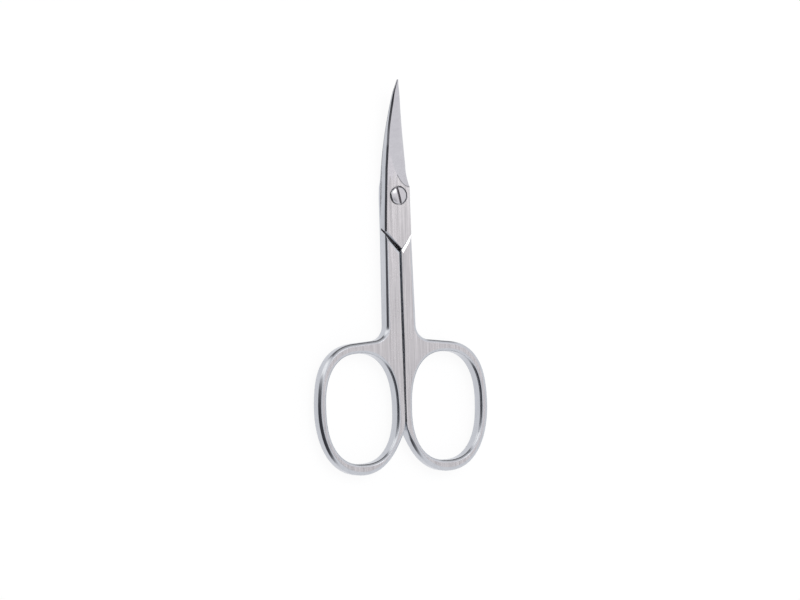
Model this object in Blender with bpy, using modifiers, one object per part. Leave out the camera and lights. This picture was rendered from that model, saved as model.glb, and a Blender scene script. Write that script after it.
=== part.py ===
"""Curved nail scissors, about 90 mm long: two forged halves, half-lapped at a slotted pivot screw.

Each half is drawn flat and closed, as the front half lies: X to its own ring, Y to the tip, Z out of
its own face, with the lap plane at Z = 0. The rear half is drawn the same way, with a thinner joint
plate, and turned half a turn about Y. Both are then lifted by one curve that depends only on the
distance from the pivot, so that the blades stay in contact along the whole curve and never cut into
each other while they turn.

The finished scissors lie on their back. The origin is on the pivot, at the back of the handles.
"""

import math
from dataclasses import dataclass

import bmesh
import bpy
from mathutils import Matrix, Vector

MM = 0.001

# Overall lengths from the pivot
BLADE_REACH = 26.2 * MM
HANDLE_REACH = 62.75 * MM

# Thicknesses
HANDLE_THICKNESS = 3.6 * MM
LAP_HEIGHT = 1.15 * MM
PLATE_INSET = 0.25 * MM
LAP_GAP = 0.1 * MM

# Joint plate, as seen from the front: the pivot sits a little right of its middle
JOINT_LEFT = 3.6 * MM
JOINT_RIGHT = 2.9 * MM
SHOULDER_OUTER = 8.6 * MM
SHOULDER_APEX = 12.3 * MM
SHOULDER_GAP = 0.6 * MM
SHOULDER_ROUNDING = 0.5 * MM
SHOULDER_SLANT = math.radians(29)
SHOULDER_DROP = 0.5 * MM
FOOT_CHAMFER = 0.25 * MM
SLANT_RETURN = 0.3 * MM
ROOT_DEPTH = 0.8 * MM
ROOT_SIDE_DEPTH = 0.25 * MM
ROOT_FLANK = 0.6 * MM

# Shanks
SPLIT_GAP = 0.06 * MM
SHANK_LEFT = 3.87 * MM
SHANK_RIGHT = 3.4 * MM
SHANK_ROUNDING = 0.55 * MM
SPLIT_ROUNDING = 0.2 * MM
ROUNDING_EASE = 1.5 * MM

# Finger rings: each is flattened where the two meet, and its foot is turned a little outwards
RING_OUTWARD = 10.15 * MM
RING_HALF_WIDTH = 11.1 * MM
RING_RISE = 12.35 * MM
RING_DROP = 17.2 * MM
RING_ROUNDING = 0.85 * MM
HOLE_ROUNDING = 0.65 * MM
RING_TOP_POWER = 2.42
RING_BOTTOM_POWER = 2.16
RING_TURN = math.radians(4.7)
RING_BLEND = 0.2 * MM
HOLE_HALF_WIDTH = 8.77 * MM
HOLE_HALF_HEIGHT = 12.37 * MM
HOLE_POWER = 2.4
HOLE_TURN = math.radians(-1.1)
HOLE_OUTWARD = 0.5 * MM
HOLE_DOWNWARD = 2.3 * MM
NECK_SLOPE = math.radians(5.5)
NECK_FILLET = 3.4 * MM

# Blades
CURVE_START = 5.0 * MM
TIP_RISE = 3.35 * MM
BLADE_HALF_WIDTH = 3.15 * MM
BLADE_MIDDLE = -0.09 * MM
BLADE_BLEND = 5.0 * MM
TAPER_START = 4.85 * MM
TAPER_REACH = 23.6 * MM
TAPER_POWER = 1.25
SPINE_FLARE = 0.1 * MM
SPINE_STRAIGHT_END = 10.0 * MM
SPINE_THIN_START = 8.0 * MM
SPINE_TIP_THICKNESS = 0.25 * MM
SPINE_CHAMFER = 0.4 * MM
EDGE_LAND = 0.18 * MM
CHAMFER_SHARE = 0.5
EDGE_CHAMFER = 0.15 * MM
GRIND_LOW = 2.0 * MM
GRIND_HIGH = 11.0 * MM
GRIND_POWER = 2.0
GRIND_RUNOUT = 5.5 * MM
HOLLOW_DEPTH = 0.12 * MM
HOLLOW_START = 5.0 * MM

# Pivot screw
HEAD_RADIUS = 1.95 * MM
HEAD_CLEARANCE = 0.25 * MM
HEAD_SEAT_DEPTH = 1.1 * MM
HEAD_PROUD = 0.16 * MM
HEAD_CROWN = 0.08 * MM
HEAD_ROUNDING = 0.3 * MM
HEAD_LIFT = 0.06 * MM
STEM_RADIUS = 1.2 * MM
STEM_CLEARANCE = 0.05 * MM
STEM_CHAMFER = 0.15 * MM
SLOT_WIDTH = 0.55 * MM
SLOT_DEPTH = 0.6 * MM
SLOT_ANGLE = math.radians(13.5)

# Colours and roughness of the steel
SATIN_COLOUR = (0.56, 0.56, 0.58)
SATIN_ROUGHNESS = 0.32
POLISHED_COLOUR = (0.62, 0.62, 0.64)
POLISHED_ROUGHNESS = 0.16

# Fineness of the round stretches
RING_STEP = math.radians(5.0)
FILLET_STEP = math.radians(10.0)
ROUNDING_SEGMENTS = 4
BLADE_ROWS = 28
PLATE_ROWS = 4
COLUMNS_PER_SIDE = 5
SCREW_SIDES = 64
CROWN_STEPS = 6
SHARP_ANGLE = math.radians(30)

# A turn above this is a corner, whose two sides are set in by their own amounts
CORNER_TURN = math.sin(math.radians(20))

# Cutters run this far past the faces that they cut, and points this close count as one
CUT_MARGIN = 1.0 * MM
TOUCH = 0.001 * MM

# Places that follow from the sizes above
LAP = LAP_GAP / 2
FRONT_FACE = HANDLE_THICKNESS - PLATE_INSET
RING_CENTRE_Y = RING_DROP - HANDLE_REACH


@dataclass(frozen=True)
class Half:
    """What differs between the halves, in the flat drawing: widths and heights, own side and far side."""

    name: str
    own_width: float
    far_width: float
    shank_width: float
    own_height: float
    far_height: float
    blade_middle: float
    side: int

    @property
    def face(self):
        """Height of the joint plate's outer face over the lap plane."""
        return self.own_height - PLATE_INSET

    @property
    def plate_thickness(self):
        return self.face - LAP


FRONT = Half(
    name="front_half",
    own_width=JOINT_RIGHT,
    far_width=JOINT_LEFT,
    shank_width=SHANK_RIGHT,
    own_height=HANDLE_THICKNESS - LAP_HEIGHT,
    far_height=LAP_HEIGHT,
    blade_middle=BLADE_MIDDLE,
    side=1,
)
REAR = Half(
    name="rear_half",
    own_width=JOINT_LEFT,
    far_width=JOINT_RIGHT,
    shank_width=SHANK_LEFT,
    own_height=LAP_HEIGHT,
    far_height=HANDLE_THICKNESS - LAP_HEIGHT,
    blade_middle=-BLADE_MIDDLE,
    side=-1,
)


def clear_scene():
    for obj in list(bpy.data.objects):
        bpy.data.objects.remove(obj)


def new_collection(name):
    collection = bpy.data.collections.new(name)
    bpy.context.scene.collection.children.link(collection)
    return collection


def steel(name, colour, roughness):
    material = bpy.data.materials.new(name)
    material.use_nodes = True
    shader = material.node_tree.nodes["Principled BSDF"]
    shader.inputs["Base Color"].default_value = (*colour, 1.0)
    shader.inputs["Metallic"].default_value = 1.0
    shader.inputs["Roughness"].default_value = roughness
    material.diffuse_color = (*colour, 1.0)
    return material


def object_from(bm, name, collection):
    """A mesh object made from bm, which is freed."""
    mesh = bpy.data.meshes.new(name)
    bmesh.ops.recalc_face_normals(bm, faces=bm.faces)
    bm.to_mesh(mesh)
    bm.free()
    obj = bpy.data.objects.new(name, mesh)
    collection.objects.link(obj)
    return obj


def as_helper(obj):
    obj.hide_render = True
    obj.display_type = "WIRE"
    return obj


def bake_modifiers(obj):
    """Replaces the object's mesh with the one that its modifiers make."""
    bpy.context.view_layer.update()
    graph = bpy.context.evaluated_depsgraph_get()
    mesh = bpy.data.meshes.new_from_object(obj.evaluated_get(graph))
    obj.modifiers.clear()
    obj.data = mesh
    mesh.name = obj.name


def add_boolean(obj, other, operation):
    boolean = obj.modifiers.new(f"{operation.lower()} {other.name}", "BOOLEAN")
    boolean.operation = operation
    boolean.object = other
    boolean.solver = "EXACT"


def lerp(start, end, share):
    return start + (end - start) * share


def smooth(share):
    """Eases from 0 to 1 as share goes from 0 to 1."""
    share = min(1.0, max(0.0, share))
    return share * share * (3 - 2 * share)


def bulge(share):
    """0 at both ends and 1 in the middle."""
    return 4 * share * (1 - share)


def superellipse(angle, half_width, half_height, power):
    cosine = math.cos(angle)
    sine = math.sin(angle)
    x = half_width * math.copysign(abs(cosine) ** (2 / power), cosine)
    y = half_height * math.copysign(abs(sine) ** (2 / power), sine)
    return x, y


def turned_point(x, y, turn):
    """A point turned anticlockwise about the ring's centre."""
    cosine = math.cos(turn)
    sine = math.sin(turn)
    return x * cosine - y * sine, y * cosine + x * sine


def ring_point(angle):
    """A point of the ring's outer edge: the top half is flatter than the bottom, and the inner side
    is flattened where the two rings meet."""
    top = math.sin(angle) > 0
    height = RING_RISE if top else RING_DROP
    power = RING_TOP_POWER if top else RING_BOTTOM_POWER
    x, y = turned_point(*superellipse(angle, RING_HALF_WIDTH, height, power), RING_TURN)
    past = x + RING_OUTWARD - SPLIT_GAP
    kept = (past + math.hypot(past, RING_BLEND)) / 2
    return SPLIT_GAP + kept, RING_CENTRE_Y + y


def stepped_angles(start, end, step):
    steps = max(1, round(abs(end - start) / step))
    return [lerp(start, end, i / steps) for i in range(steps + 1)]


def ring_angle_of_slope(slope):
    """The angle on the ring's top half where its outer edge falls outwards at this slope."""
    steepness = math.tan(max(0.0, slope + RING_TURN)) * RING_HALF_WIDTH / RING_RISE
    return math.atan2(1, steepness ** (RING_TOP_POWER / (2 * (RING_TOP_POWER - 1))))


def handle_outline(half):
    """Outer edge of one shank and ring, anticlockwise from the shoulder's apex down the split line."""
    angles = stepped_angles(math.pi, 2 * math.pi + ring_angle_of_slope(NECK_SLOPE), RING_STEP)
    points = [(SPLIT_GAP, -SHOULDER_APEX)] + [ring_point(angle) for angle in angles]
    # The neck runs straight from the ring's top into a fillet that is tangent to the shank's side.
    side = half.shank_width
    ring_x, ring_y = points[-1]
    fillet_x = side + NECK_FILLET
    fillet_y = ring_y + (ring_x - fillet_x) * math.tan(NECK_SLOPE) + NECK_FILLET / math.cos(NECK_SLOPE)
    for angle in stepped_angles(-math.pi / 2 - NECK_SLOPE, -math.pi, FILLET_STEP):
        points.append((fillet_x + NECK_FILLET * math.cos(angle), fillet_y + NECK_FILLET * math.sin(angle)))
    points.append((half.own_width, -SHOULDER_OUTER))
    return points


def hole_outline():
    """Inner edge of the finger ring, clockwise."""
    points = []
    for angle in stepped_angles(2 * math.pi, 0, RING_STEP)[:-1]:
        x, y = superellipse(angle, HOLE_HALF_WIDTH, HOLE_HALF_HEIGHT, HOLE_POWER)
        x, y = turned_point(x, y, HOLE_TURN)
        points.append((RING_OUTWARD + HOLE_OUTWARD + x, RING_CENTRE_Y - HOLE_DOWNWARD + y))
    return points


def edge_rounding(start, end):
    """Rounding of the handle's long edges along one straight stretch of its outline."""
    x = (start[0] + end[0]) / 2
    y = (start[1] + end[1]) / 2
    if y > -SHOULDER_APEX:
        return SHOULDER_ROUNDING
    along = (y + SHOULDER_APEX) / (RING_CENTRE_Y + SHOULDER_APEX)
    full = lerp(SHANK_ROUNDING, RING_ROUNDING, smooth(along))
    return lerp(SPLIT_ROUNDING, full, smooth((x - SPLIT_GAP) / ROUNDING_EASE))


def inset_point(before, point, after, first, second):
    """The outline's corner moved inwards, by first from the side before it and second from the next."""
    one = Vector((point[0] - before[0], point[1] - before[1])).normalized()
    two = Vector((after[0] - point[0], after[1] - point[1])).normalized()
    inward_one = Vector((-one.y, one.x))
    inward_two = Vector((-two.y, two.x))
    turn = one.x * two.y - one.y * two.x
    if abs(turn) < CORNER_TURN:
        shift = (inward_one + inward_two).normalized() * (first + second) / 2
    else:
        shift = (two * first - one * second) / turn
    return point[0] + shift.x, point[1] + shift.y


def shoulder_slant(half, z):
    """Shift of the shoulder towards the tip at z. Under the far plate it starts a little lower and
    leans up to the lap plane, and inside the half's own plate it returns to nothing."""
    lean = math.tan(SHOULDER_SLANT)
    if z <= 0:
        return lean * (z + half.far_height) - SHOULDER_DROP
    return (lean * half.far_height - SHOULDER_DROP) * max(0.0, 1 - z / SLANT_RETURN)


def rounded_wall(bm, half, outline, roundings):
    """Side wall of a slab with rounded edges: rings of points from the lower face round to the upper."""
    count = len(outline)
    turns = [i / ROUNDING_SEGMENTS * math.pi / 2 for i in range(ROUNDING_SEGMENTS + 1)]
    lower = [(-half.far_height, 1, turn) for turn in turns[::-1]]
    upper = [(half.own_height, -1, turn) for turn in turns]
    between = [(0.0, 0, 0.0), (SLANT_RETURN, 0, 0.0)]
    rings = []
    for face, inward, turn in lower + between + upper:
        ring = []
        share = 1 - math.cos(turn)
        for i in range(count):
            first = roundings[i - 1]
            second = roundings[i]
            corner = (outline[i - 1], outline[i], outline[(i + 1) % count])
            x, y = inset_point(*corner, first * share, second * share)
            rounding = (first + second) / 2
            z = face + inward * rounding * (1 - math.sin(turn))
            if inward == 0:
                z = min(z, (LAP + half.own_height - rounding) / 2)
            if outline[i][1] >= -SHOULDER_APEX:
                y += shoulder_slant(half, z)
            ring.append(bm.verts.new((x, y, z)))
        rings.append(ring)
    for lower, upper in zip(rings, rings[1:]):
        for i in range(count):
            j = (i + 1) % count
            bm.faces.new((lower[i], lower[j], upper[j], upper[i]))
    return rings[0], rings[-1]


def loop_edges(bm, ring):
    return [bm.edges.get((ring[i - 1], ring[i])) for i in range(len(ring))]


def handle_slab(half, helpers):
    """Shank and finger ring: one flat outline with its hole, its edges rounded less on the split line."""
    outer = handle_outline(half)
    hole = hole_outline()
    outer_roundings = [edge_rounding(a, b) for a, b in zip(outer, outer[1:] + outer[:1])]
    bm = bmesh.new()
    outer_low, outer_high = rounded_wall(bm, half, outer, outer_roundings)
    hole_low, hole_high = rounded_wall(bm, half, hole, [HOLE_ROUNDING] * len(hole))
    for rim in ((outer_low, hole_low), (outer_high, hole_high)):
        edges = loop_edges(bm, rim[0]) + loop_edges(bm, rim[1])
        bmesh.ops.triangle_fill(bm, use_beauty=True, edges=edges)
    return as_helper(object_from(bm, f"{half.name}_handle", helpers))


def blade_side(y, plate_width, offset):
    """Distance from the pivot to one side at y: the plate's width, blended into the tapering blade."""
    share = max(0.0, y - TAPER_START) / TAPER_REACH
    blade = offset + BLADE_HALF_WIDTH * (1 - share**TAPER_POWER)
    return lerp(plate_width, min(plate_width, blade), smooth(y / BLADE_BLEND))


def spine_side(half, y):
    """Distance from the pivot to the spine at y, which runs straight from the shoulder into the taper."""
    width = blade_side(y, half.far_width, -half.blade_middle)
    end = blade_side(SPINE_STRAIGHT_END, half.far_width, -half.blade_middle)
    along = (y + SHOULDER_OUTER) / (SPINE_STRAIGHT_END + SHOULDER_OUTER)
    if along >= 1:
        return width
    return min(width, lerp(half.far_width + SPINE_FLARE, end, along))


def spine_thickness(half, y):
    share = max(0.0, y - SPINE_THIN_START) / (BLADE_REACH - SPINE_THIN_START)
    return lerp(half.plate_thickness, SPINE_TIP_THICKNESS, share)


def shoulder_line(x, width):
    """Height of the V-shaped shoulder at a distance x from the split line."""
    return lerp(-SHOULDER_APEX, -SHOULDER_OUTER, min(1.0, abs(x) / width))


def plate_foot(half, x, z):
    """Lower edge of the joint plate: a chamfered, slanted seat on the far shank's shoulder, and a root
    in the own shank."""
    if x <= SPLIT_GAP + TOUCH:
        slant = (half.own_height - z) * math.tan(SHOULDER_SLANT) - SHOULDER_DROP
        chamfer = FOOT_CHAMFER * max(0.0, 1 - (half.face - z) / SPINE_CHAMFER)
        return shoulder_line(x - SPLIT_GAP, half.far_width) + SHOULDER_GAP + slant + chamfer
    from_side = min(half.own_width - x, x - SPLIT_GAP)
    depth = lerp(ROOT_SIDE_DEPTH, ROOT_DEPTH, smooth(from_side / ROOT_FLANK))
    return shoulder_line(x, half.own_width) - depth


def grind_line(half, x):
    """Where the blade's grind starts: a hollow curve from the cutting side up to the spine."""
    share = min(1.0, max(0.0, (half.own_width - x) / (half.own_width + half.far_width)))
    return lerp(GRIND_LOW, GRIND_HIGH, share**GRIND_POWER)


def blade_columns(half):
    """Shares of the width from cutting edge to spine, with one at the split line."""
    split = (half.own_width - SPLIT_GAP) / (half.own_width + half.far_width)
    near = [lerp(0, split, i / COLUMNS_PER_SIDE) for i in range(COLUMNS_PER_SIDE)]
    far = [lerp(split, 1, i / COLUMNS_PER_SIDE) for i in range(COLUMNS_PER_SIDE + 1)]
    return near + far


def section_row(half, row, share, z):
    """The y of a row of the loft, from the plate's foot through the grind line to the tip."""
    x = lerp(half.own_width, -half.far_width, share)
    start = grind_line(half, x)
    if row <= PLATE_ROWS:
        return lerp(plate_foot(half, x, z), start, row / PLATE_ROWS)
    return lerp(start, BLADE_REACH, (row - PLATE_ROWS) / BLADE_ROWS)


def outer_height(half, y, share):
    """Height of the outer face: the flat plate, ground away to the blade's wedge past the grind line."""
    x = lerp(half.own_width, -half.far_width, share)
    past = min(1.0, max(0.0, y - grind_line(half, x)) / GRIND_RUNOUT)
    wedge = lerp(EDGE_LAND, spine_thickness(half, y), share)
    return LAP + lerp(half.plate_thickness, wedge, 1 - (1 - past) ** 2)


def inner_height(y, width, share):
    """Height of the hollow-ground inner face over the lap plane."""
    hollow = HOLLOW_DEPTH * smooth((y - HOLLOW_START) / GRIND_RUNOUT) * width / (2 * BLADE_HALF_WIDTH)
    return LAP + hollow * bulge(share)


def blade_sides(half, y):
    """The x of the cutting side and of the spine at y."""
    edge = blade_side(y, half.own_width, half.blade_middle)
    return edge, -spine_side(half, y)


def side_corner(half, row, share, chamfer):
    """Point of the section where a side meets the chamfer under the outer face."""
    y = section_row(half, row, share, half.face - chamfer)
    top = outer_height(half, y, share)
    chamfer = min(chamfer, CHAMFER_SHARE * (top - LAP))
    return Vector((lerp(*blade_sides(half, y), share), y, top - chamfer)), chamfer


def blade_section(half, row, columns):
    """Closed section of plate or blade: up the spine's side, over the outer face, back under."""
    side, spine_chamfer = side_corner(half, row, 1, SPINE_CHAMFER)
    cut, edge_chamfer = side_corner(half, row, 0, EDGE_CHAMFER)
    low = []
    outer = []
    for share in columns:
        y = section_row(half, row, share, LAP)
        edge, spine = blade_sides(half, y)
        low.append(Vector((lerp(edge, spine, share), y, inner_height(y, edge - spine, share))))
        y = section_row(half, row, share, half.face)
        edge, spine = blade_sides(half, y)
        x = lerp(edge - edge_chamfer, spine + spine_chamfer, share)
        outer.append(Vector((x, y, outer_height(half, y, share))))
    return [side] + outer[::-1] + [cut] + low


def close_end(bm, ring, middle):
    """Closes an end of the loft: strips from the outer columns over the middle points to the inner ones."""
    count = len(middle) + 2
    outer = ring[1 : count + 1]
    low = ring[count + 2 :][::-1]
    middle = [ring[0]] + middle + [ring[count + 1]]
    for upper, lower in ((outer, middle), (middle, low)):
        for i in range(count - 1):
            bm.faces.new((upper[i], upper[i + 1], lower[i + 1], lower[i]))


def end_points(bm, half, columns, row):
    """Points across an end of the loft, at the height where the side chamfers start."""
    points = []
    for share in columns[-2:0:-1]:
        side, _ = side_corner(half, row, share, SPINE_CHAMFER)
        points.append(bm.verts.new(side))
    return points


def blade_blank(half, helpers):
    """Joint plate and blade, lofted from the shoulder to the tip."""
    columns = blade_columns(half)
    bm = bmesh.new()
    rings = []
    for row in range(PLATE_ROWS + BLADE_ROWS + 1):
        rings.append([bm.verts.new(point) for point in blade_section(half, row, columns)])
    for lower, upper in zip(rings, rings[1:]):
        for i in range(len(lower)):
            j = (i + 1) % len(lower)
            bm.faces.new((lower[i], lower[j], upper[j], upper[i]))
    for ring, row in ((rings[0], 0), (rings[-1], PLATE_ROWS + BLADE_ROWS)):
        close_end(bm, ring, end_points(bm, half, columns, row))
    bmesh.ops.triangulate(bm, faces=bm.faces)
    return as_helper(object_from(bm, f"{half.name}_blade", helpers))


def blade_rise(x, y):
    """How far the blades' curve lifts a point: an arc over the distance from the pivot."""
    along = math.hypot(x, y) - CURVE_START
    if y <= 0 or along <= 0:
        return 0.0
    reach = BLADE_REACH - CURVE_START
    radius = (reach**2 + TIP_RISE**2) / (2 * TIP_RISE)
    return radius - math.sqrt(radius**2 - along**2)


def cylinder(name, radius, bottom, top, helpers):
    bm = bmesh.new()
    depth = top - bottom
    place = Matrix.Translation((0, 0, (top + bottom) / 2))
    bmesh.ops.create_cone(
        bm, cap_ends=True, segments=SCREW_SIDES, radius1=radius, radius2=radius, depth=depth, matrix=place
    )
    return as_helper(object_from(bm, name, helpers))


def scissor_half(half, collection, helpers):
    """One forging: ring, shank, joint plate and blade, placed as the closed scissors hold it."""
    forging = handle_slab(half, helpers)
    blade = blade_blank(half, helpers)
    add_boolean(forging, blade, "UNION")
    bake_modifiers(forging)
    helpers.objects.unlink(forging)
    collection.objects.link(forging)
    forging.name = half.name
    forging.data.name = half.name
    forging.hide_render = False
    forging.display_type = "TEXTURED"
    for vertex in forging.data.vertices:
        x, y, z = vertex.co
        x *= half.side
        vertex.co = (x, y, LAP_HEIGHT + half.side * z + blade_rise(x, y))
    return forging


def cut_screw_seats(front, rear, helpers):
    """Head seat and running bore in the front plate, stem bore in the rear plate."""
    bottom = FRONT_FACE - HEAD_SEAT_DEPTH
    top = FRONT_FACE + CUT_MARGIN
    seat = cylinder("head_seat", HEAD_RADIUS + HEAD_CLEARANCE, bottom, top, helpers)
    through = cylinder("stem_bore", STEM_RADIUS + STEM_CLEARANCE, -CUT_MARGIN, top, helpers)
    add_boolean(front, seat, "DIFFERENCE")
    add_boolean(front, through, "DIFFERENCE")
    add_boolean(rear, through, "DIFFERENCE")
    bake_modifiers(front)
    bake_modifiers(rear)


def screw_profile():
    """Half section of the pivot screw: low crown, rounded rim, head, stem and chamfered tail."""
    seat = FRONT_FACE - HEAD_SEAT_DEPTH + HEAD_LIFT
    flat = HEAD_RADIUS - HEAD_ROUNDING
    top = FRONT_FACE + HEAD_PROUD
    points = []
    for i in range(CROWN_STEPS):
        share = i / CROWN_STEPS
        points.append((flat * share, top + HEAD_CROWN * (1 - share**2)))
    for i in range(ROUNDING_SEGMENTS + 1):
        turn = i / ROUNDING_SEGMENTS * math.pi / 2
        points.append((flat + HEAD_ROUNDING * math.sin(turn), top - HEAD_ROUNDING * (1 - math.cos(turn))))
    points.append((HEAD_RADIUS, seat))
    points.append((STEM_RADIUS, seat))
    points.append((STEM_RADIUS, STEM_CHAMFER))
    points.append((STEM_RADIUS - STEM_CHAMFER, 0))
    points.append((0, 0))
    return points


def pivot_screw(collection, helpers):
    """Slotted screw: its head turns in the front plate's seat, its stem is fixed in the rear plate."""
    bm = bmesh.new()
    chain = [bm.verts.new((x, 0, z)) for x, z in screw_profile()]
    for first, second in zip(chain, chain[1:]):
        bm.edges.new((first, second))
    mesh = bpy.data.meshes.new("pivot_screw")
    bm.to_mesh(mesh)
    bm.free()
    screw = bpy.data.objects.new("pivot_screw", mesh)
    collection.objects.link(screw)
    turn = screw.modifiers.new("turn", "SCREW")
    turn.steps = SCREW_SIDES
    turn.render_steps = SCREW_SIDES
    turn.use_merge_vertices = True
    turn.merge_threshold = TOUCH
    bm = bmesh.new()
    top = FRONT_FACE + CUT_MARGIN
    bottom = FRONT_FACE + HEAD_PROUD - SLOT_DEPTH
    size = (SLOT_WIDTH, 2 * (HEAD_RADIUS + CUT_MARGIN), top - bottom)
    place = Matrix.Rotation(SLOT_ANGLE, 4, "Z") @ Matrix.Translation((0, 0, (top + bottom) / 2))
    bmesh.ops.create_cube(bm, size=1, matrix=place @ Matrix.Diagonal((*size, 1)))
    slot = as_helper(object_from(bm, "driver_slot", helpers))
    add_boolean(screw, slot, "DIFFERENCE")
    return screw


def build():
    clear_scene()
    parts = new_collection("curved_nail_scissors")
    helpers = new_collection("cutters")
    helpers.hide_render = True
    satin = steel("satin_steel", SATIN_COLOUR, SATIN_ROUGHNESS)
    polished = steel("polished_steel", POLISHED_COLOUR, POLISHED_ROUGHNESS)
    front = scissor_half(FRONT, parts, helpers)
    rear = scissor_half(REAR, parts, helpers)
    cut_screw_seats(front, rear, helpers)
    screw = pivot_screw(parts, helpers)
    for half in (front, rear):
        half.data.materials.clear()
        half.data.materials.append(satin)
        half.data.shade_smooth()
        half.data.set_sharp_from_angle(angle=SHARP_ANGLE)
    screw.data.materials.append(polished)
    screw.data.shade_smooth()


build()
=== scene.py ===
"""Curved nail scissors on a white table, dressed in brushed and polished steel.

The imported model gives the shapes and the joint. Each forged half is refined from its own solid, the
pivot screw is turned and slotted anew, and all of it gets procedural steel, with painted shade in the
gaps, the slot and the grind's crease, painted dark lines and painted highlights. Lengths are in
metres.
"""

import logging
import math
from collections import defaultdict
from collections.abc import Callable
from dataclasses import dataclass, field
from enum import Enum

import bmesh
import bpy
from bpy.types import Material, MeshPolygon, Node, NodeSocket, NodeTree, Object
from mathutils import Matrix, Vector


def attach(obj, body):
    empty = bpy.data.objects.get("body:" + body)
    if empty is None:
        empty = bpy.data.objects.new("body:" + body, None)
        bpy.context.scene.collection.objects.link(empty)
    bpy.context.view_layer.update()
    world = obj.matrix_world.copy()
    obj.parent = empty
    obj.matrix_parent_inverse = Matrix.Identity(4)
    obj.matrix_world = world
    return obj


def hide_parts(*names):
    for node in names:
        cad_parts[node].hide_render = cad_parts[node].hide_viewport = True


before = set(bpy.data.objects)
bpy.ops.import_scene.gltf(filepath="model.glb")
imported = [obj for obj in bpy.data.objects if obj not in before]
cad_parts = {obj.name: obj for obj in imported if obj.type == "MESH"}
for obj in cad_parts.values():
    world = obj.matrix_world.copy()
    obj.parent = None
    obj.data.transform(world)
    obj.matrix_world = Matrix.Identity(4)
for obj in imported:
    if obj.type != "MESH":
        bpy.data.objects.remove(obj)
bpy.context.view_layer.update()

MM = 0.001

Colour = tuple[float, float, float]
FaceTest = Callable[[MeshPolygon], bool]

log = logging.getLogger("nail_scissors")


# Places on the scissors


@dataclass(frozen=True)
class Span:
    """A stretch between two values."""

    low: float  # where it starts
    high: float  # where it ends

    def holds(self, value: float) -> bool:
        """Says whether a value lies inside the stretch."""
        return self.low < value < self.high


@dataclass(frozen=True)
class Line:
    """A straight line in the plan of the scissors, with a near and a far side."""

    x: float  # X of a point on it
    y: float  # Y of that point
    out: tuple[float, float]  # square to the line, towards its far side, in X and Y

    def beyond(self, place: Vector) -> float:
        """Measures how far a point lies on the far side, less than 0 on the near side."""
        return (place - Vector((self.x, self.y, 0.0))).dot(Vector((*self.out, 0.0)))


# Small helpers


def deselect_all() -> None:
    """Leaves object mode's selection empty."""
    if bpy.context.mode != "OBJECT":
        bpy.ops.object.mode_set(mode="OBJECT")
    bpy.ops.object.select_all(action="DESELECT")


def make_active(piece: Object) -> None:
    """Selects one piece alone and makes it active.

    Args:
        piece: The object that the next operators act on.
    """
    deselect_all()
    piece.select_set(True)
    bpy.context.view_layer.objects.active = piece


def modify(piece: Object, kind: str, **settings: object) -> None:
    """Adds one modifier to a piece and applies it.

    Args:
        piece: The object to change.
        kind: The modifier's type.
        settings: Values of the modifier's properties.
    """
    modifier = piece.modifiers.new(kind, kind)
    for name, value in settings.items():
        setattr(modifier, name, value)
    make_active(piece)
    bpy.ops.object.modifier_apply(modifier=modifier.name)


def select_faces(piece: Object, wanted: FaceTest) -> None:
    """Goes to edit mode with only the wanted faces of a piece selected.

    Args:
        piece: The object to edit.
        wanted: Says of a face whether it is selected.
    """
    make_active(piece)
    bpy.ops.object.mode_set(mode="EDIT")
    bpy.ops.mesh.select_mode(type="FACE")
    bpy.ops.mesh.select_all(action="DESELECT")
    bpy.ops.object.mode_set(mode="OBJECT")
    for face in piece.data.polygons:
        face.select = wanted(face)
    bpy.ops.object.mode_set(mode="EDIT")


def part_faces(piece: Object, line: Line, wanted: FaceTest) -> None:
    """Parts the wanted faces of a piece along an upright plane.

    Args:
        piece: The object to edit.
        line: The line that the plane stands on.
        wanted: Says of a face whether it may be parted.
    """
    select_faces(piece, wanted)
    bpy.ops.mesh.bisect(plane_co=(line.x, line.y, 0.0), plane_no=(*line.out, 0.0))
    bpy.ops.object.mode_set(mode="OBJECT")


def faces_by_edge(piece: Object) -> dict[tuple[int, int], list[MeshPolygon]]:
    """Lists the faces that meet at each edge of a piece.

    Args:
        piece: An object in object mode.

    Returns:
        The faces by the edge's key.
    """
    beside = defaultdict(list)
    for face in piece.data.polygons:
        for key in face.edge_keys:
            beside[key].append(face)
    return beside


def mark_rims(piece: Object, clear_edge: float = 40.0) -> None:
    """Writes the rim attribute: 1 at points on a clear edge, 0 on a flat.

    Args:
        piece: The object to mark.
        clear_edge: Degrees from which an edge counts in full.
    """
    bm = bmesh.new()
    bm.from_mesh(piece.data)
    rims = []
    for vertex in bm.verts:
        turns = [edge.calc_face_angle(0.0) for edge in vertex.link_edges]
        rims.append(min(1.0, max(turns, default=0.0) / math.radians(clear_edge)))
    bm.free()
    attribute = piece.data.attributes.new("rim", "FLOAT", "POINT")
    attribute.data.foreach_set("value", rims)


def direction(azimuth: float, elevation: float) -> Vector:
    """Unit vector towards a place in the studio.

    Args:
        azimuth: Degrees anticlockwise from +X, seen from above.
        elevation: Degrees above the table.

    Returns:
        The direction as a vector.
    """
    around = math.radians(azimuth)
    above = math.radians(elevation)
    flat = math.cos(above)
    return Vector((flat * math.cos(around), flat * math.sin(around), math.sin(above)))


def add_node(
    tree: NodeTree, kind: str, inputs: dict[str | int, object] | None = None, **settings: object
) -> Node:
    """Adds a shader node, with its settings and what feeds it.

    Args:
        tree: The node tree.
        kind: The node's type, without the word ShaderNode.
        inputs: The value of each input, or the socket that it is linked to.
        settings: Values of the node's own properties.

    Returns:
        The node.
    """
    node = tree.nodes.new("ShaderNode" + kind)
    for name, value in settings.items():
        setattr(node, name, value)
    for key, value in (inputs or {}).items():
        if isinstance(value, NodeSocket):
            tree.links.new(value, node.inputs[key])
        else:
            node.inputs[key].default_value = value
    return node


def number(tree: NodeTree, operation: str, *terms: object) -> NodeSocket:
    """Adds a math node, and returns the socket with its result."""
    return add_node(tree, "Math", dict(enumerate(terms)), operation=operation).outputs["Value"]


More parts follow.
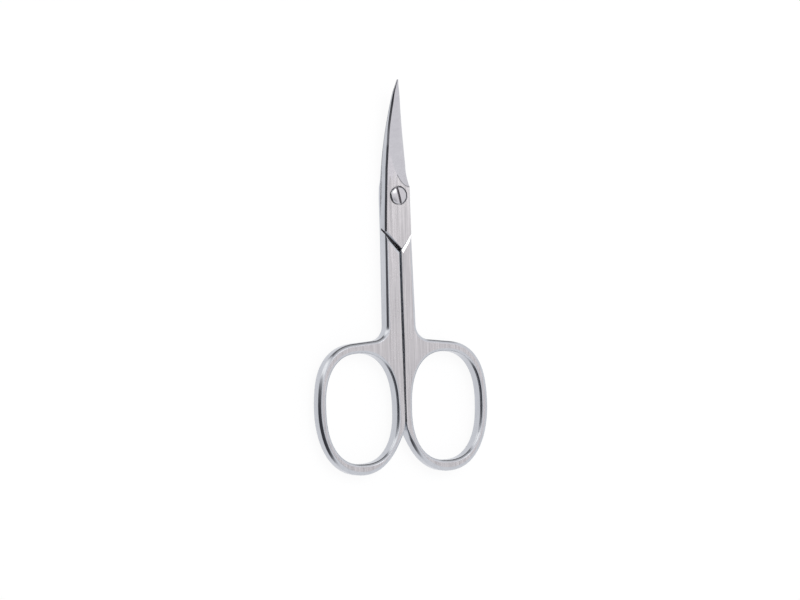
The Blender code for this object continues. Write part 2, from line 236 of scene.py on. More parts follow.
def vector(tree: NodeTree, operation: str, *terms: object) -> NodeSocket:
    """Adds a vector math node, and returns the socket with the vector that it makes."""
    node = add_node(tree, "VectorMath", dict(enumerate(terms)), operation=operation)
    return node.outputs["Vector"]


def mixed(tree: NodeTree, below: object, above: Colour, share: NodeSocket) -> NodeSocket:
    """Lays a share of one colour over another, and returns the socket with the mixture."""
    layers = {"A": below, "B": (*above, 1.0), "Factor": share}
    return add_node(tree, "Mix", layers, data_type="RGBA").outputs["Result"]


def soft_step(tree: NodeTree, value: NodeSocket, low: float, high: float) -> NodeSocket:
    """Returns the socket with a soft step, 0 at the low value and 1 at the high one."""
    ends = {"Value": value, "From Min": low, "From Max": high}
    return add_node(tree, "MapRange", ends, interpolation_type="SMOOTHSTEP").outputs["Result"]


# The steel


class NodeGroups:
    """The shader node groups that the steel finishes share, each built once."""

    def __init__(self) -> None:
        """Builds the three groups."""
        self.grain = self._make_grain()
        self.smudges = self._make_smudges()
        self.worn_edges = self._make_worn_edges()

    @staticmethod
    def _start(
        name: str, values: dict[str, float], outputs: tuple[str, ...]
    ) -> tuple[NodeTree, Node, Node]:
        """A new group that takes coordinates and numbers, and puts out numbers.

        Args:
            name: The group's name.
            values: Name and default of each input after Vector.
            outputs: Name of each output.

        Returns:
            The tree, its input node and its output node.
        """
        tree = bpy.data.node_groups.new(name, "ShaderNodeTree")
        add_socket = tree.interface.new_socket
        add_socket("Vector", in_out="INPUT", socket_type="NodeSocketVector")
        for label, default in values.items():
            socket = add_socket(label, in_out="INPUT", socket_type="NodeSocketFloat")
            socket.default_value = default
        for label in outputs:
            add_socket(label, in_out="OUTPUT", socket_type="NodeSocketFloat")
        return tree, tree.nodes.new("NodeGroupInput"), tree.nodes.new("NodeGroupOutput")

    def _make_grain(self) -> NodeTree:
        """Brushing lines: noise that is stretched along Y of its coordinates.

        Returns:
            A group that puts out Height, fine, and Tone, coarser, both about 0 to 1.
        """
        tree, given, result = self._start(
            "grain", {"Across": 9000.0, "Along": 160.0}, ("Height", "Tone")
        )
        across, along = given.outputs["Across"], given.outputs["Along"]
        stretch = add_node(tree, "CombineXYZ", {"X": across, "Y": along, "Z": across})
        scaled = vector(tree, "MULTIPLY", given.outputs["Vector"], stretch.outputs["Vector"])
        fine = {"Vector": scaled, "Scale": 1.0, "Detail": 3.0, "Roughness": 0.65}
        coarse = {"Vector": scaled, "Scale": 0.36, "Detail": 4.0, "Roughness": 0.7}
        for label, noise in (("Height", fine), ("Tone", coarse)):
            lines = add_node(tree, "TexNoise", noise)
            tree.links.new(lines.outputs["Fac"], result.inputs[label])
        return tree

    def _make_smudges(self) -> NodeTree:
        """Faint handling marks, as soft clouds.

        Returns:
            A group that puts out Haze, 0 to 1.
        """
        tree, given, result = self._start("smudges", {"Size": 170.0}, ("Haze",))
        place, size = given.outputs["Vector"], given.outputs["Size"]
        clouds = add_node(tree, "TexNoise", {"Vector": place, "Scale": size, "Detail": 5.0})
        haze = soft_step(tree, clouds.outputs["Fac"], 0.35, 0.68)
        tree.links.new(haze, result.inputs["Haze"])
        return tree

    def _make_worn_edges(self) -> NodeTree:
        """How far an edge is rubbed bright: the piece's rim attribute, broken up by noise.

        Returns:
            A group that puts out Wear, 0 to 1.
        """
        tree, given, result = self._start("worn_edges", {"Rim": 0.0, "Amount": 1.0}, ("Wear",))
        place = given.outputs["Vector"]
        broken = add_node(tree, "TexNoise", {"Vector": place, "Scale": 900.0, "Detail": 3.0})
        rubbed = number(tree, "MULTIPLY", given.outputs["Rim"], broken.outputs["Fac"])
        wear = number(tree, "MULTIPLY", rubbed, given.outputs["Amount"])
        wear.node.use_clamp = True
        tree.links.new(wear, result.inputs["Wear"])
        return tree


@dataclass(frozen=True)
class SteelFinish:
    """One finish of the steel, from its grain to how it is rubbed at the edges."""

    name: str  # the material's name
    light: Colour  # colour of the smoother, brighter places, linear
    deep: Colour  # colour in the grain's valleys, linear
    roughness: float = 0.2  # roughness of the clean surface
    haze: float = 0.05  # what handling adds to the roughness
    grain_across: float = 5000.0  # brushing lines per metre across the grain
    grain_along: float = 900.0  # the same along the grain: lower is longer lines
    grain_turn: float = 0.0  # degrees that the grain is turned from +Y
    grain_depth: float = 0.002 * MM
    grain_tone: float = 0.6  # how much the grain shows in colour, 0 to 1
    wear: float = 0.0  # how bright the edges are rubbed, 0 to 1
    rubbed: Colour = (0.86, 0.86, 0.87)  # colour of the rubbed edges, linear

    def material(self, groups: NodeGroups) -> Material:
        """Builds the finish.

        Args:
            groups: The shared node groups.

        Returns:
            The material.
        """
        made = bpy.data.materials.new(self.name)
        made.use_nodes = True
        tree = made.node_tree
        shader = tree.nodes["Principled BSDF"]
        shader.inputs["Metallic"].default_value = 1.0
        place = add_node(tree, "TexCoord").outputs["Object"]
        turn = (0.0, 0.0, math.radians(self.grain_turn))
        turned = add_node(tree, "Mapping", {"Vector": place, "Rotation": turn}).outputs["Vector"]
        brushing = {"Vector": turned, "Across": self.grain_across, "Along": self.grain_along}
        grain = add_node(tree, "Group", brushing, node_tree=groups.grain)
        smudges = add_node(tree, "Group", {"Vector": place}, node_tree=groups.smudges)
        rim = add_node(tree, "Attribute", attribute_name="rim").outputs["Fac"]
        rubbing = {"Vector": place, "Rim": rim, "Amount": self.wear}
        worn = add_node(tree, "Group", rubbing, node_tree=groups.worn_edges)
        relief = {"Height": grain.outputs["Height"], "Distance": self.grain_depth}
        bump = add_node(tree, "Bump", relief)
        masks = (smudges.outputs["Haze"], grain.outputs["Height"], worn.outputs["Wear"])
        for label, socket in (
            ("Base Color", self._colour(tree, grain.outputs["Tone"], worn.outputs["Wear"])),
            ("Roughness", self._roughness(tree, masks)),
            ("Normal", bump.outputs["Normal"]),
        ):
            tree.links.new(socket, shader.inputs[label])
        return made

    def _colour(self, tree: NodeTree, tone: NodeSocket, wear: NodeSocket) -> NodeSocket:
        """Base colour: grain between the two tones, brighter where rubbed.

        Args:
            tree: The material's node tree.
            tone: The grain's tone.
            wear: How far an edge is rubbed.

        Returns:
            The socket with the colour.
        """
        contrast = {
            "Value": tone,
            "From Min": 0.3,
            "From Max": 0.7,
            "To Min": 0.5 - self.grain_tone / 2,
            "To Max": 0.5 + self.grain_tone / 2,
        }
        share = add_node(tree, "MapRange", contrast).outputs["Result"]
        streaks = mixed(tree, (*self.deep, 1.0), self.light, share)
        return mixed(tree, streaks, self.rubbed, wear)

    def _roughness(self, tree: NodeTree, masks: tuple[NodeSocket, ...]) -> NodeSocket:
        """Roughness: haze and grain raise it, rubbed edges are smoother.

        Args:
            tree: The material's node tree.
            masks: The haze, the grain's height and the wear.

        Returns:
            The socket with the roughness.
        """
        level: NodeSocket | float = self.roughness
        for mask, amount in zip(masks, (self.haze, self.haze, -self.roughness / 2)):
            level = number(tree, "MULTIPLY_ADD", mask, amount, level)
        level.node.use_clamp = True
        return level


class Surface(Enum):
    """The kinds of surface on the forgings, and where light and shade are painted on them, in the
    order of their material slots.
    """

    FLAT = 0
    EDGE = 1
    GROUND = 2
    SPINE = 3
    GAP = 4
    BURNISHED = 5
    COVE = 6
    LEDGE = 7


FORGED_FINISHES = {
    Surface.FLAT: SteelFinish(
        name="brushed_flats",
        light=(0.73, 0.716, 0.722),
        deep=(0.41, 0.403, 0.41),
        roughness=0.24,
        grain_across=7000.0,
        grain_along=150.0,
        grain_depth=0.004 * MM,
        grain_tone=0.9,
        wear=0.3,
    ),
    Surface.EDGE: SteelFinish(
        name="tumbled_edges",
        light=(0.60, 0.62, 0.65),
        deep=(0.52, 0.54, 0.57),
        roughness=0.13,
        haze=0.04,
        grain_across=2600.0,
        grain_depth=0.003 * MM,
        grain_tone=0.7,
        wear=0.5,
    ),
    Surface.GROUND: SteelFinish(
        name="ground_blade",
        light=(0.66, 0.65, 0.675),
        deep=(0.57, 0.56, 0.585),
        grain_across=6000.0,
        grain_along=400.0,
        grain_turn=78.0,
        grain_depth=0.003 * MM,
        wear=0.4,
    ),
    # Painted dark reflection on the blade's back chamfer, and painted shade along the split between
    # the shanks
    Surface.SPINE: SteelFinish(
        name="painted_dark_lines",
        light=(0.24, 0.24, 0.26),
        deep=(0.16, 0.16, 0.175),
        grain_along=200.0,
    ),
    # Painted shade in the gaps by the V shoulders and in the screw's slot
    Surface.GAP: SteelFinish(
        name="gap_painted_shade",
        light=(0.55, 0.53, 0.55),
        deep=(0.34, 0.33, 0.345),
        roughness=0.4,
        haze=0.1,
        grain_across=3000.0,
        grain_depth=0.003 * MM,
    ),
    # Painted highlight on the shoulder bevels
    Surface.BURNISHED: SteelFinish(
        name="shoulder_painted_highlight",
        light=(0.97, 0.96, 0.96),
        deep=(0.88, 0.87, 0.88),
        roughness=0.1,
        haze=0.04,
        grain_across=3000.0,
        grain_turn=38.0,
        grain_tone=0.5,
    ),
    # Painted shade in the crease where the grind runs out into the flat
    Surface.COVE: SteelFinish(
        name="grind_crease_painted_shade",
        light=(0.36, 0.36, 0.375),
        deep=(0.28, 0.28, 0.295),
        grain_along=400.0,
        grain_turn=60.0,
    ),
    # Painted light on the proud strip of the rear half's lap face
    Surface.LEDGE: SteelFinish(
        name="ledge_painted_light",
        light=(0.97, 0.96, 0.96),
        deep=(0.90, 0.89, 0.90),
        roughness=0.55,
        haze=0.1,
        grain_across=3000.0,
        grain_tone=0.5,
    ),
}
POLISHED = SteelFinish(
    name="polished_screw",
    light=(0.64, 0.64, 0.66),
    deep=(0.56, 0.56, 0.58),
    roughness=0.1,
    haze=0.04,
    grain_along=1500.0,
    grain_turn=20.0,
    grain_tone=0.5,
    wear=0.4,
)


# The pieces


@dataclass
class ForgedHalf:
    """One forging: ring, shank, joint plate and blade, refined from its own solid."""

    node: str  # the CAD node that it stands for
    body: str  # the body that it rides on
    spine: int  # side of the blade's back, -1 or 1 in X
    face_top: float = 3.6 * MM  # height of the handles' front faces
    face_border: float = 0.32 * MM  # depth of the rounding round those faces
    v_half_width: float = 3.7 * MM  # half the width of the joint at its V shoulders
    v_span: Span = Span(-13.2 * MM, -7.6 * MM)  # where the V shoulders lie, in Y
    weld: float = 0.002 * MM  # points this close are one
    one_flat: float = 0.4  # degrees of turn up to which two faces are one flat
    flat_limit: float = 0.985  # least |z| of a normal for a face to count as flat
    flat_end: float = 0.5 * MM  # flats end here, and the ground blade starts, in Y
    grind_tilt: Span = Span(0.5, 0.99999)  # |z| of the grind's normals
    back_start: float = -9.0 * MM  # the blade's chamfered back starts here, in Y
    back_tilt: Span = Span(0.3, 0.93)  # |z| of the chamfer's normals
    back_turn: float = 0.45  # least x of those normals, towards the spine
    sharp: float = 32.0  # degrees from which an edge is broken and crisp
    break_width: float = 0.035 * MM  # width of the broken sharp edges
    split_span: Span = Span(-47 * MM, -12.25 * MM)  # where the shanks lie side by side, in Y
    split_side: float = 0.06 * MM  # half the width of the split between them
    # Where the rounding along the split lies, from that side
    split_round: Span = Span(-0.001 * MM, 0.21 * MM)
    split_depth: float = 0.4 * MM  # how far below the front faces and to the side it goes
    split_scale: float = 2.5  # how many times wider it gets
    cove_width: float = 0.3 * MM  # width of the bevelled cove, with painted shade, at the root of the blade's grind
    cove_turn: float = 20.0  # degrees of turn from which the root has a cove
    tip_length: float = 0.05 * MM  # length of the tip that its middle is measured on
    point_length: float = 3.2 * MM  # length over which the tip is ground to a point
    point_shift: float = 0.13 * MM  # how far to the right of the tip's middle the point lies
    point_width: float = 0.3  # share of the tip's width that is left at its very end
    point_bend: float = 1.5  # power of the curve in which the tip narrows
    piece: Object = field(init=False)  # its mesh object

    def build(self, materials: list[Material]) -> None:
        """Models and dresses the half.

        Args:
            materials: One for each kind of Surface, in its order.
        """
        self.piece = piece = self._copy_of_solid()
        self._merge()
        for material in materials:
            piece.data.materials.append(material)
        self._grind_point()
        self._groove_grind()
        self._round_split()
        self._fit_joint()
        self._break_edges()
        self._sort_faces()
        self._shade()
        mark_rims(piece)
        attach(piece, self.body)
        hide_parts(self.node)
        log.info("%s: %d faces on %s", piece.name, len(piece.data.polygons), self.body)

    def _fit_joint(self) -> None:
        """Refines the forms that only this half's joint has."""
        raise NotImplementedError

    def _joint_kind(self, place: Vector, normal: Vector) -> Surface | None:
        """The kind of surface of a face that only this half's joint has, if it is one."""
        raise NotImplementedError

    def _copy_of_solid(self) -> Object:
        """A free copy of the half's solid.

        Returns:
            The copy, at the origin.
        """
        name = self.node.replace("half", "forging")
        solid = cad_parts[self.node]
        piece = bpy.data.objects.new(name, solid.data.copy())
        piece.data.name = name
        piece.data.materials.clear()
        bpy.context.scene.collection.objects.link(piece)
        return piece

    @property
    def _points(self) -> list[Vector]:
        """The piece's points, which are moved by changing them."""
        return [vertex.co for vertex in self.piece.data.vertices]

    def _merge(self) -> None:
        """Merges the solid's loose triangles and clears its flat faces of inner edges."""
        make_active(self.piece)
        bpy.ops.object.mode_set(mode="EDIT")
        bpy.ops.mesh.select_all(action="SELECT")
        bpy.ops.mesh.remove_doubles(threshold=self.weld)
        bpy.ops.mesh.dissolve_limited(angle_limit=math.radians(self.one_flat))
        bpy.ops.object.mode_set(mode="OBJECT")

    def _grind_point(self) -> None:
        """Narrows the end of the blade to a point."""
        tip = max(place.y for place in self._points)
        last = [place.x for place in self._points if place.y > tip - self.tip_length]
        middle = (min(last) + max(last)) / 2 + self.point_shift
        for place in self._points:
            share = (place.y - tip + self.point_length) / self.point_length
            if share > 0:
                narrowed = 1 - (1 - self.point_width) * share**self.point_bend
                place.x = middle + (place.x - middle) * narrowed

    def _groove_grind(self) -> None:
        """Bevels a narrow strip, with painted shade, where the blade's grind runs out into the flat.
        """
        select_faces(self.piece, lambda face: False)
        bpy.ops.mesh.select_mode(type="EDGE")
        bpy.ops.object.mode_set(mode="OBJECT")
        beside = faces_by_edge(self.piece)
        for edge in self.piece.data.edges:
            pair = beside[edge.key]
            if len(pair) == 2 and {self._kind(f) for f in pair} == {Surface.FLAT, Surface.GROUND}:
                turn = pair[0].normal.angle(pair[1].normal)
                edge.select = turn > math.radians(self.cove_turn)
        bpy.ops.object.mode_set(mode="EDIT")
        bpy.ops.mesh.bevel(offset=self.cove_width / 2, segments=1, material=Surface.COVE.value)
        bpy.ops.mesh.select_mode(type="FACE")
        bpy.ops.object.mode_set(mode="OBJECT")

    def _round_split(self) -> None:
        """Rounds the front edge along the split between the shanks more widely."""
        side = -self.split_side * self.spine
        for place in self._points:
            high = place.z > self.face_top - self.split_depth
            if high and self.split_span.holds(place.y):
                if self.split_round.holds((side - place.x) * self.spine):
                    place.x = side + (place.x - side) * self.split_scale
                    place.z = self.face_top - (self.face_top - place.z) * self.split_scale

    def _break_edges(self) -> None:
        """Takes the burr off the sharp edges with a narrow bevel."""
        modify(
            self.piece,
            "BEVEL",
            width=self.break_width,
            segments=2,
            limit_method="ANGLE",
            angle_limit=math.radians(self.sharp),
            miter_outer="MITER_ARC",
        )

    def _sort_faces(self) -> None:
        """Gives each face but the cove's the finish of its kind of surface."""
        for face in self.piece.data.polygons:
            if face.material_index != Surface.COVE.value:
                face.material_index = self._kind(face).value

    def _kind(self, face: MeshPolygon) -> Surface:
        """The kind of surface that a face belongs to.

        Args:
            face: A face of the half.

        Returns:
            Its kind of surface.
        """
        place, normal = face.center, face.normal
        tilt = abs(normal.z)
        own = self._joint_kind(place, normal)
        if own is not None:
            return own
        # The blade's chamfered back gets a painted dark reflection.
        on_back = place.y > self.back_start and normal.x * self.spine > self.back_turn
        if on_back and self.back_tilt.holds(tilt):
            return Surface.SPINE
        if place.y > self.flat_end and self.grind_tilt.holds(tilt):
            return Surface.GROUND
        return Surface.FLAT if tilt > self.flat_limit else Surface.EDGE

    def _on_v_border(self, place: Vector) -> bool:
        """Says whether a point is on the front faces' rounding by the V shoulders."""
        return self._by_the_v(place) and place.z > self.face_top - self.face_border

    def _by_the_v(self, place: Vector) -> bool:
        """Says whether a point is by the V shoulders, at any height."""
        return abs(place.x) < self.v_half_width and self.v_span.holds(place.y)

    def _shade(self) -> None:
        """Shades the half smooth, with its flats flat and the edges of its painted highlights and
        painted dark lines crisp.
        """
        make_active(self.piece)
        bpy.ops.object.shade_smooth_by_angle(angle=math.radians(self.sharp))
        crisp = {Surface.SPINE.value, Surface.BURNISHED.value}
        beside = faces_by_edge(self.piece)
        for edge in self.piece.data.edges:
            kinds = {face.material_index for face in beside[edge.key]}
            if len(kinds) > 1 and kinds & crisp:
                edge.use_edge_sharp = True
        modify(self.piece, "WEIGHTED_NORMAL", keep_sharp=True, weight=100)


@dataclass
class FrontHalf(ForgedHalf):
    """The half whose joint plate lies in front, with its blade's back on the left."""

    node: str = "front_half"
    body: str = "front"
    spine: int = -1
    # The plate's own V shoulder, with the gap beyond it
    shoulder: Line = Line(0.26 * MM, -12.86 * MM, (-0.793, 0.609))
    # Where the low bevel with the painted highlight runs along the shoulder, in X
    bevel_span: Span = Span(0.07 * MM, 2.8 * MM)
    bevel_reach: Span = Span(0.02 * MM, 0.47 * MM)  # how far beyond the shoulder's line it lies
    finish_reach: Span = Span(-0.3 * MM, 0.47 * MM)  # the same of its painted highlight
    finish_tilt: Span = Span(0.95, 0.9995)  # z of that finish's normals
    bevel_depth: float = 0.3 * MM  # how far below the front face its rounding goes
    bevel_slope: float = 0.115  # its slope
    bevel_lead: float = 0.15 * MM  # how far before the line it starts to fall
    crest_span: Span = Span(-12.9 * MM, -9.9 * MM)  # where its upper edge is moved, in Y
    crest_reach: float = 0.3 * MM  # how near to the line that edge lies
    crest_move: float = 0.24 * MM  # how far the edge is moved towards the rings
    # Height of the part of the shoulder's wall that is seen in the gap
    wall_seen: Span = Span(1.0 * MM, 3.34 * MM)
    wall_right: float = 0.6 * MM  # its right end, in X
    # Foot of the wall on the blade's back, above the rear half's edge
    side_wall: Line = Line(-3.22 * MM, 0.85 * MM, (-1.0, 0.0508))
    wall_span: Span = Span(-8.4 * MM, 11 * MM)  # where that wall runs, in Y
    wall_reach: float = 0.3 * MM  # how near to its line its points lie
    wall_top: float = 1.75 * MM  # height up to which it is flared
    flare: float = 0.13 * MM  # how far it leans out at its foot
    flare_fade: float = 5 * MM  # length over which the flare fades out towards the tip

    def _fit_joint(self) -> None:
        """Bevels the shoulder and flares the blade's back."""
        self._bevel_shoulder()
        self._flare_back()

    def _bevel_shoulder(self) -> None:
        """Flattens the rounding along the V shoulder to a low bevel."""
        for place in self._points:
            if not (self.bevel_span.holds(place.x) and self.v_span.holds(place.y)):
                continue
            out = self.shoulder.beyond(place)
            below = self.face_top - place.z
            if below < self.bevel_depth and self.bevel_reach.holds(out):
                place.z = self.face_top - self.bevel_slope * (out + self.bevel_lead)
            elif below < self.weld and self.crest_span.holds(place.y):
                if abs(out) < self.crest_reach:
                    place.y -= self.crest_move

    def _flare_back(self) -> None:
        """Leans the side wall of the blade's back out at its foot, over the rear half's edge."""
        for place in self._points:
            on_wall = abs(self.side_wall.beyond(place)) < self.wall_reach
            if on_wall and place.z < self.wall_top and self.wall_span.holds(place.y):
                share = (self.wall_span.high - place.y) / self.flare_fade
                place.x -= self.flare * min(1.0, share)

    def _joint_kind(self, place: Vector, normal: Vector) -> Surface | None:
        """The kind of surface of a face by this half's V shoulder.

        Args:
            place: The face's middle.
            normal: Its normal.

        Returns:
            The kind, or None for a face like those of the other half.
        """
        out = self.shoulder.beyond(place)
        # The low bevel along the shoulder gets a painted highlight.
        beyond = place.x > self.bevel_span.low and self.finish_reach.holds(out)
        if beyond and self._on_v_border(place) and self.finish_tilt.holds(normal.z):
            return Surface.BURNISHED
        # Steep faces of the shoulder's wall seen in the gap get painted shade.
        in_gap = self._by_the_v(place) and normal.x < -0.2 and normal.y < -0.2
        if in_gap and place.x < self.wall_right and self.wall_seen.holds(place.z):
            return Surface.EDGE if normal.z > 0.3 else Surface.GAP
        return None


@dataclass
class RearHalf(ForgedHalf):
    """The half whose joint plate lies behind, with its blade's back on the right."""

    node: str = "rear_half"
    body: str = "rear"
    spine: int = 1
    # Lower end of the joint plate, behind the front half's V
    plate_foot: Line = Line(-0.06 * MM, -11.58 * MM, (0.780, -0.626))
    foot_span: Span = Span(-12.2 * MM, -7.8 * MM)  # where the foot runs, in Y
    foot_left: float = -0.1 * MM  # its left end, in X
    foot_top: float = 1.15 * MM  # height of its upper edge
    foot_reach: float = 0.35 * MM  # how near to its line its points lie
    foot_move: float = 0.45 * MM  # how far it is brought nearer to the front half's shoulder
    # Parts the lap face in the open gap, which gets painted shade, from the rest
    gap_edge: Line = Line(1.0245 * MM, -11.2635 * MM, (0.723, 0.691))
    gap_end: float = -7 * MM  # the open gap ends here, in Y
    lap_height: Span = Span(1.0 * MM, 1.2 * MM)  # heights between which the flat lap face lies
    lap_tilt: float = 0.99  # least z of its normals
    lap_area: float = 20 * MM**2  # least area of that face
    curve_height: Span = Span(0.9 * MM, 1.7 * MM)  # the same of the curved part of it
    # Parts off the strip of lap face that stands proud on the left, which gets painted light
    ledge_line: Line = Line(-3.17 * MM, 0.85 * MM, (-1.0, 0.06))
    ledge_span: Span = Span(-8.5 * MM, 12 * MM)  # where that strip runs, in Y
    # Parts off the left end of the shoulder, which gets a painted highlight
    glint_end: Line = Line(-2.75 * MM, 0.0, (1.0, 0.0))
    glint_depth: float = 0.45 * MM  # how far below the front face that end goes

    def _fit_joint(self) -> None:
        """Closes the notch behind the V and parts off the strips that get painted shade, painted
        light and a painted highlight.
        """
        self._close_notch()
        part_faces(
            self.piece,
            self.gap_edge,
            lambda face: self._on_lap(face) and face.area > self.lap_area and face.center.y < 0.0,
        )
        part_faces(
            self.piece,
            self.ledge_line,
            lambda face: self._on_lap(face) or self._on_curved_lap(face),
        )
        part_faces(
            self.piece,
            self.glint_end,
            lambda face: self.v_span.holds(face.center.y)
            and face.center.z > self.face_top - self.glint_depth
            and face.normal.x > 0.15
            and face.normal.y > 0.1,
        )

    def _close_notch(self) -> None:
        """Brings the joint plate's foot nearer to the front half's shoulder behind the V."""
        shift = Vector((*self.plate_foot.out, 0.0)) * self.foot_move
        for place in self._points:
            low = place.z < self.foot_top and place.x > self.foot_left
            if low and self.foot_span.holds(place.y):
                if abs(self.plate_foot.beyond(place)) < self.foot_reach:
                    place += shift

    def _on_lap(self, face: MeshPolygon) -> bool:
        """Says whether a face belongs to the flat lap face."""
        return face.normal.z > self.lap_tilt and self.lap_height.holds(face.center.z)

    def _on_curved_lap(self, face: MeshPolygon) -> bool:
        """Says whether a face belongs to the lap face where it curves up with the blade."""
        near = self.curve_height.holds(face.center.z) and self.ledge_span.holds(face.center.y)
        return near and face.normal.z > 0.95

    def _joint_kind(self, place: Vector, normal: Vector) -> Surface | None:
        """The kind of surface of a face on this half's lap, V shoulder or split.

        Args:
            place: The face's middle.
            normal: Its normal.

        Returns:
            The kind, or None for a face like those of the other half.
        """
        # The lap face seen in the open gap gets painted shade.
        in_gap = self.gap_edge.beyond(place) < 0 and place.y < self.gap_end
        if in_gap and normal.z > self.lap_tilt and place.z < self.lap_height.high:
            return Surface.GAP
        # The shoulder's rounding gets a painted highlight at its left end.
        if self._on_v_border(place) and normal.x > 0.2 and normal.y > 0.15:
            glint = self.glint_end.beyond(place) < 0 and normal.z > 0.5
            return Surface.BURNISHED if glint else Surface.EDGE
        # The rounding along the split gets painted shade, as a dark line.
        by_split = self.split_span.holds(place.y) and abs(place.x) < self.split_depth
        if by_split and place.z > self.face_top - self.face_border and normal.x > 0.2:
            return Surface.SPINE
        # The proud strip of lap face gets painted light, paler than the steel round it.
        proud = self.ledge_line.beyond(place) > 0 and self.ledge_span.holds(place.y)
        if proud and normal.z > 0.9 and place.z < self.curve_height.high:
            return Surface.LEDGE
        return None


@dataclass
class PivotScrew:
    """The slotted pivot screw, turned, crowned and slotted."""

    body: str = "rear"  # the body that it rides on
    head_radius: float = 1.95 * MM
    head_top: float = 3.51 * MM  # height of the head's rim
    crown: float = 0.08 * MM  # how much higher the head's middle is
    crown_rings: int = 7  # rings of faces in the crown
    seat: float = 2.31 * MM  # height of the head's underside
    rim: float = 0.3 * MM  # rounding of the head's edge
    stem_radius: float = 1.2 * MM
    stem_chamfer: float = 0.15 * MM  # chamfer at the tail
    slot_width: float = 0.55 * MM
    slot_floor: float = 2.91 * MM  # height of the slot's floor
    slot_turn: float = 13.5  # degrees that the slot is turned from +Y
    slot_margin: float = 0.02 * MM  # faces this near the slot's walls and floor belong to it
    break_width: float = 0.05 * MM  # width of the broken edges
    break_turn: float = 50.0  # degrees from which an edge is broken
    sharp: float = 30.0  # degrees from which an edge stays sharp in shading
    sides: int = 128  # segments round the screw
    weld: float = 0.001 * MM  # heights this close are one
    piece: Object = field(init=False)  # its mesh object

    def build(self, polished: Material, dark: Material) -> None:
        """Models and dresses the screw.

        Args:
            polished: The screw's finish.
            dark: The painted shade inside its slot.
        """
        self.piece = piece = self._blank()
        self._draw_stem()
        self._round_head()
        self._cut_slot()
        make_active(piece)
        bpy.ops.object.shade_smooth_by_angle(angle=math.radians(self.sharp))
        for material in (polished, dark):
            piece.data.materials.append(material)
        self._paint_slot_shade()
        mark_rims(piece)
        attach(piece, self.body)
        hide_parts("pivot_screw")
        log.info("%s: %d faces on %s", piece.name, len(piece.data.polygons), self.body)

    def _blank(self) -> Object:
        """The cylinder that the screw is drawn from.

        Returns:
            The head as a plain cylinder.
        """
        deselect_all()
        bpy.ops.mesh.primitive_cylinder_add(
            vertices=self.sides,
            radius=self.head_radius,
            depth=self.head_top - self.seat,
            location=(0.0, 0.0, (self.head_top + self.seat) / 2),
        )
        piece = bpy.context.active_object
        piece.name = "slotted_screw"
        piece.data.name = "slotted_screw"
        bpy.ops.object.transform_apply()
        return piece

    def _draw_stem(self) -> None:
        """Insets the head's underside and extrudes the stem down to the tail."""
        select_faces(self.piece, lambda face: face.normal.z < -0.9)
        bpy.ops.mesh.inset(thickness=self.head_radius - self.stem_radius)
        bpy.ops.mesh.extrude_region_move(TRANSFORM_OT_translate={"value": (0, 0, -self.seat)})
        bpy.ops.mesh.bevel(offset=self.stem_chamfer, segments=1)
        bpy.ops.object.mode_set(mode="OBJECT")

    def _round_head(self) -> None:
        """Rounds the head's rim and raises its middle in a low crown."""
        select_faces(self.piece, lambda face: face.normal.z > 0.9)
        bpy.ops.mesh.bevel(offset=self.rim, segments=6)
        bpy.ops.object.mode_set(mode="OBJECT")
        select_faces(self.piece, lambda face: face.normal.z > 0.999 and len(face.vertices) > 8)
        flat = self.head_radius - self.rim
        for _ in range(self.crown_rings):
            bpy.ops.mesh.inset(thickness=flat / (self.crown_rings + 0.5))
        bpy.ops.object.mode_set(mode="OBJECT")
        for vertex in self.piece.data.vertices:
            radius = math.hypot(vertex.co.x, vertex.co.y)
            if vertex.co.z > self.head_top - self.weld and radius < flat:
                vertex.co.z += self.crown * (1 - (radius / flat) ** 2)

    def _cut_slot(self) -> None:
        """Cuts the driver slot across the head and breaks its edges."""
        deselect_all()
        top = self.head_top + 1 * MM
        bpy.ops.mesh.primitive_cube_add(
            size=1.0,
            location=(0.0, 0.0, (top + self.slot_floor) / 2),
            rotation=(0.0, 0.0, math.radians(self.slot_turn)),
            scale=(self.slot_width, 4 * self.head_radius, top - self.slot_floor),
        )
        cutter = bpy.context.active_object
        modify(self.piece, "BOOLEAN", operation="DIFFERENCE", object=cutter, solver="EXACT")
        bpy.data.objects.remove(cutter)
        modify(
            self.piece,
            "BEVEL",
            width=self.break_width,
            segments=3,
            limit_method="ANGLE",
            angle_limit=math.radians(self.break_turn),
        )

    def _paint_slot_shade(self) -> None:
        """Gives the slot's floor and walls the gap's painted shade."""
        across = direction(self.slot_turn, 0.0)
        for face in self.piece.data.polygons:
            inside = abs(face.center.dot(across)) < self.slot_width / 2 + self.slot_margin
            in_head = face.center.z > self.slot_floor - self.slot_margin
            # Faces in the slot get painted shade.
            face.material_index = 1 if inside and in_head else 0


# The studio


@dataclass(frozen=True)
class Patch:
    """A round, soft-edged patch of the studio's surroundings."""

    azimuth: float  # degrees anticlockwise from +X to its middle
    core: float  # degrees from its middle where it is full
    reach: float  # degrees from its middle where it ends
    colour: Colour  # its colour and strength, linear
    elevation: float = 0.0  # degrees above the table to its middle

    def share(self, tree: NodeTree, towards: NodeSocket) -> NodeSocket:
        """How far the patch covers the surroundings in a direction.

        Args:
            tree: The world's node tree.
            towards: The direction, of unit length.

        Returns:
            The socket with the share, 1 in the core and 0 past the reach.
        """
        middle = direction(self.azimuth, self.elevation)
        dot = add_node(tree, "VectorMath", {0: towards, 1: middle}, operation="DOT_PRODUCT")
        reach, core = (math.cos(math.radians(angle)) for angle in (self.reach, self.core))
        return soft_step(tree, dot.outputs["Value"], reach, core)


@dataclass(frozen=True)
class Panel(Patch):
    """An upright panel or flag that stands round the table, with soft edges."""

    top: float = 80.0  # degrees above the table where it ends
    foot: float = -62.0  # degrees above the table where it starts
    fade: float = 22.0  # degrees over which it fades out at its top and its foot


